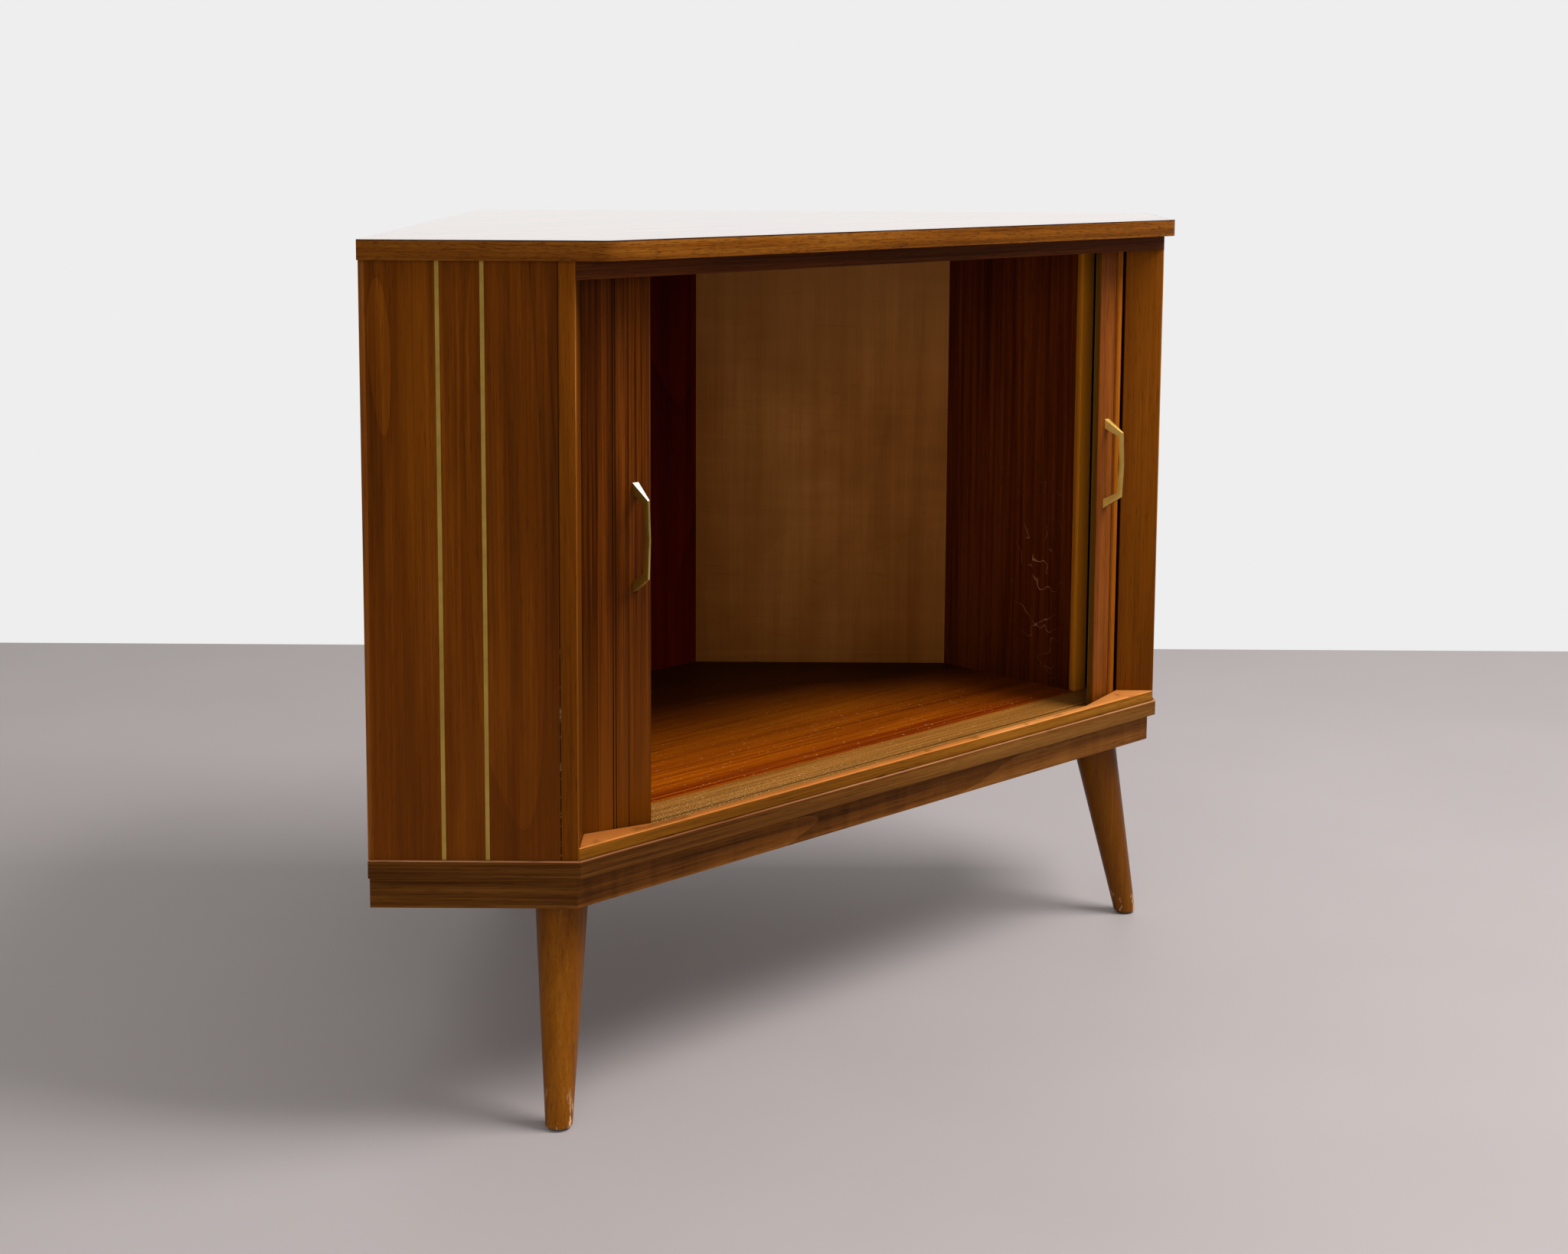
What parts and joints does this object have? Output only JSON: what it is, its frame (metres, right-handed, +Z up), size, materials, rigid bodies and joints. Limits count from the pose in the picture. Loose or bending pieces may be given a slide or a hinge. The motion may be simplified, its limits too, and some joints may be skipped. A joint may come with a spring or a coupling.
{
  "type": "corner cabinet with tambour doors",
  "caption": "Low corner cabinet with a pentagonal plan, slatted sliding doors that run in curved grooves, brass pulls and inlay, and splayed tapered legs.",
  "frame": {"origin": "on the floor, under the middle of the bounding box", "axes": "+Z up, +X to the right as seen from the front, -Y towards the front"},
  "size_m": [1.0776, 0.686, 0.772],
  "materials": {
    "top_veneer": "satin varnished walnut veneer",
    "side_veneer": "satin varnished walnut veneer, upright grain",
    "floor_veneer": "varnished veneer with a raw strip behind the groove",
    "inner_veneer": "varnished dark veneer",
    "dark_veneer": "varnished dark red veneer",
    "solid_trim": "satin varnished solid wood",
    "light_solid": "satin varnished solid wood, pale",
    "light_plywood": "plain plywood",
    "plain_board": "unfinished softwood",
    "slat_wood": "satin varnished slats",
    "leg_wood": "satin varnished turned wood",
    "dowel": "plain beech",
    "brass": "lightly aged brass",
    "steel": "plain steel",
    "canvas": "coarse cotton canvas",
    "glide": "black plastic"
  },
  "bodies": {
    "cabinet": {"apron_back_left": "plain_board", "apron_back_right": "plain_board", "apron_front": "solid_trim", "apron_left": "solid_trim", "apron_right": "solid_trim", "back_corner_batten": "plain_board", "back_corner_board": "dark_veneer", "back_panel_left": "light_plywood", "back_panel_right": "light_plywood", "board_edge_front": "solid_trim", "board_edge_left": "solid_trim", "board_edge_right": "solid_trim", "bottom_board": "floor_veneer", "brass_strip_far_left": "brass", "brass_strip_far_right": "brass", "brass_strip_near_left": "brass", "brass_strip_near_right": "brass", "carcass_dowels": "dowel", "corner_cleat_left": "plain_board", "corner_cleat_right": "plain_board", "corner_slats_left": "slat_wood", "corner_slats_right": "slat_wood", "front_curb": "solid_trim", "front_post_left": "light_solid", "front_post_right": "light_solid", "gathered_slats_left": "slat_wood", "gathered_slats_right": "slat_wood", "inner_wall_left": "inner_veneer", "inner_wall_lipping_left": "light_solid", "inner_wall_lipping_right": "light_solid", "inner_wall_right": "inner_veneer", "leg_block_left": "plain_board", "leg_block_rear": "plain_board", "leg_block_right": "plain_board", "leg_front_left": "leg_wood", "leg_front_right": "leg_wood", "leg_glides": "glide", "leg_rear": "leg_wood", "leg_studs": "steel", "panel_nails": "steel", "side_panel_left": "side_veneer", "side_panel_right": "side_veneer", "stored_canvas_left": "canvas", "stored_canvas_right": "canvas", "stored_slats_left": "slat_wood", "stored_slats_right": "slat_wood", "top_edge_band": "solid_trim", "top_panel": "top_veneer", "upper_front_rail": "solid_trim"},
    "left_door": {"lead_slat_left": "slat_wood", "leaf_slats_left": "slat_wood", "leaf_canvas_left": "canvas", "pull_left": "brass", "pull_screws_left": "steel"},
    "right_door": {"lead_slat_right": "slat_wood", "leaf_canvas_right": "canvas", "pull_right": "brass", "pull_screws_right": "steel"}
  },
  "joints": [
    {"name": "left_door_slide", "type": "slide", "parent": "cabinet", "child": "left_door", "axis": [1, 0, 0], "range_m": [0, 0.3037], "deforming": ["gathered_slats_left"]},
    {"name": "right_door_slide", "type": "slide", "parent": "cabinet", "child": "right_door", "axis": [-1, 0, 0], "range_m": [0, 0.3309], "deforming": ["gathered_slats_right"]}
  ]
}
